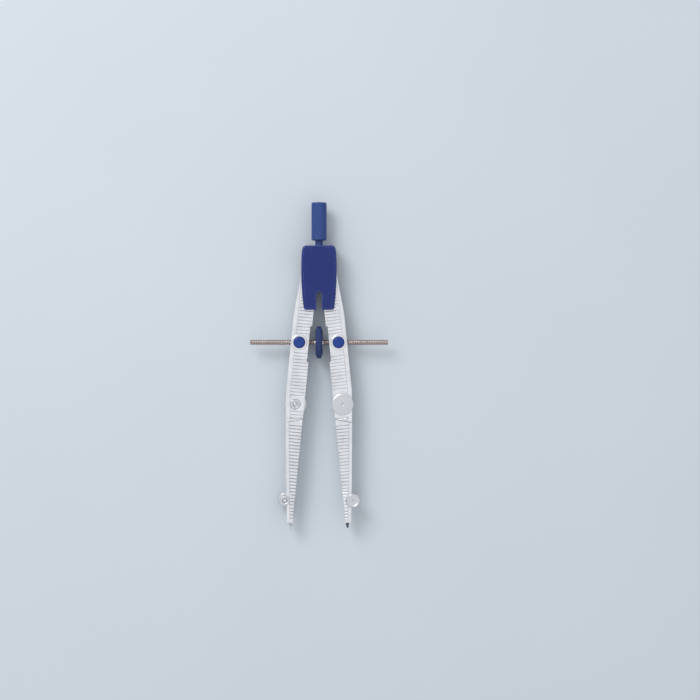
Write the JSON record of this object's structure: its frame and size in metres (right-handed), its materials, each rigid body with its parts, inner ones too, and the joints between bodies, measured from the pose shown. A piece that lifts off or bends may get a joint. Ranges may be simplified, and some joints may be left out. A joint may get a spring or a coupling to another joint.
{
  "type": "drawing compass",
  "caption": "Bow compass with a geared blue head, fluted handle, ribbed bright legs with knees, a threaded spindle with centre wheel, needle and lead.",
  "frame": {"origin": "centre of the compass's outline seen from the front, on the plane that it lies on", "axes": "+Y from the points to the handle, +Z out of the front of the head, +X to the right seen from the front"},
  "size_m": [0.064, 0.1526, 0.015],
  "materials": {
    "head_plastic": "moulded deep blue plastic, satin",
    "handle_plastic": "moulded blue plastic, fluted",
    "button_plastic": "moulded bright blue plastic",
    "wheel_plastic": "moulded dark blue plastic, knurled",
    "leg_metal": "bright satin-plated die casting",
    "nut_metal": "bright plated",
    "screw_metal": "turned and plated steel",
    "steel": "bare steel",
    "spindle_metal": "threaded rod, warm nickel on brass",
    "lead_graphite": "graphite"
  },
  "bodies": {
    "head": {"head_front_cover": "head_plastic", "head_back_cover": "head_plastic", "cover_screws": "steel", "left_hinge_pin": "steel", "right_hinge_pin": "steel", "hinge_washers": "steel", "handle_grip": "handle_plastic", "handle_stem": "steel"},
    "left_leg": {"left_upper_leg": "leg_metal", "left_knee_screw": "screw_metal", "left_knee_nut": "screw_metal"},
    "left_lower": {"left_lower_leg": "leg_metal", "left_knee_washers": "steel", "left_clamp_nut": "screw_metal"},
    "left_clamp": {"left_clamp_screw": "screw_metal"},
    "left_nut": {"left_nut_body": "nut_metal", "left_nut_clip": "steel", "left_button_spring": "steel"},
    "left_button": {"left_release_button": "button_plastic"},
    "right_leg": {"right_upper_leg": "leg_metal", "right_knee_screw": "screw_metal", "right_knee_nut": "screw_metal"},
    "right_lower": {"right_lower_leg": "leg_metal", "right_knee_washers": "steel", "right_clamp_nut": "screw_metal"},
    "right_clamp": {"right_clamp_screw": "screw_metal"},
    "right_nut": {"right_nut_body": "nut_metal", "right_nut_clip": "steel", "right_button_spring": "steel"},
    "right_button": {"right_release_button": "button_plastic"},
    "needle": {"needle": "steel"},
    "lead": {"lead": "lead_graphite"},
    "spindle": {"spindle": "spindle_metal"},
    "wheel": {"centre_wheel": "wheel_plastic"}
  },
  "joints": [
    {"name": "left_leg_spread", "type": "hinge", "parent": "head", "child": "left_leg", "pos_m": [-0.0051, 0.04589, 0.0075], "axis": [0, 0, -1], "range_deg": [-4.5, 35]},
    {"name": "left_nut_swivel", "type": "hinge", "parent": "left_leg", "child": "left_nut", "pos_m": [-0.00911, 0.01124, 0.0075], "axis": [0, 0, 1], "range_deg": [-4.6, 35.1]},
    {"name": "left_button_press", "type": "slide", "parent": "left_nut", "child": "left_button", "axis": [0, 0, -1], "range_m": [0, 0.0007], "stiffness_N_per_m": 800, "springref_m": -0.0005, "deforming": ["left_button_spring"]},
    {"name": "left_knee_bend", "type": "hinge", "parent": "left_leg", "child": "left_lower", "pos_m": [-0.01099, -0.01754, 0.0075], "axis": [0, 0, 1], "range_deg": [0, 20]},
    {"name": "left_clamp_turn", "type": "hinge", "parent": "left_lower", "child": "left_clamp", "pos_m": [-0.01584, -0.06217, 0.0075], "axis": [0, 0, -1], "range_deg": [0, 360]},
    {"name": "needle_slide", "type": "slide", "parent": "left_lower", "child": "needle", "axis": [-0.0436, -0.999, 0], "range_m": [-0.002, 0.008]},
    {"name": "right_leg_spread", "type": "hinge", "parent": "head", "child": "right_leg", "pos_m": [0.0051, 0.04589, 0.0075], "axis": [0, 0, 1], "range_deg": [-4.6, 35.1]},
    {"name": "right_nut_swivel", "type": "hinge", "parent": "right_leg", "child": "right_nut", "pos_m": [0.00911, 0.01124, 0.0075], "axis": [0, 0, -1], "range_deg": [-4.6, 35.1]},
    {"name": "right_button_press", "type": "slide", "parent": "right_nut", "child": "right_button", "axis": [0, 0, -1], "range_m": [0, 0.0007], "stiffness_N_per_m": 800, "springref_m": -0.0005, "deforming": ["right_button_spring"]},
    {"name": "right_knee_bend", "type": "hinge", "parent": "right_leg", "child": "right_lower", "pos_m": [0.01099, -0.01754, 0.0075], "axis": [0, 0, -1], "range_deg": [0, 20]},
    {"name": "right_clamp_turn", "type": "hinge", "parent": "right_lower", "child": "right_clamp", "pos_m": [0.01584, -0.06217, 0.0075], "axis": [0, 0, 1], "range_deg": [0, 360]},
    {"name": "lead_slide", "type": "slide", "parent": "right_lower", "child": "lead", "axis": [0.0436, -0.999, 0], "range_m": [-0.002, 0.008]},
    {"name": "spindle_slide", "type": "slide", "parent": "left_nut", "child": "spindle", "axis": [1, 0, 0], "range_m": [-0.00253, 0.01933]},
    {"name": "wheel_spin", "type": "hinge", "parent": "spindle", "child": "wheel", "pos_m": [0, 0.01124, 0.0075], "axis": [1, 0, 0], "range_deg": [-1140.21, 8700.31]}
  ],
  "couplings": [
    {"joint": "right_leg_spread", "follows": "left_leg_spread", "ratio": 1},
    {"joint": "left_nut_swivel", "follows": "left_leg_spread", "ratio": 1},
    {"joint": "right_nut_swivel", "follows": "left_leg_spread", "ratio": 1},
    {"joint": "spindle_slide", "follows": "left_leg_spread", "m_per_rad": 0.03156},
    {"joint": "wheel_spin", "follows": "left_leg_spread", "ratio": 247.87}
  ]
}
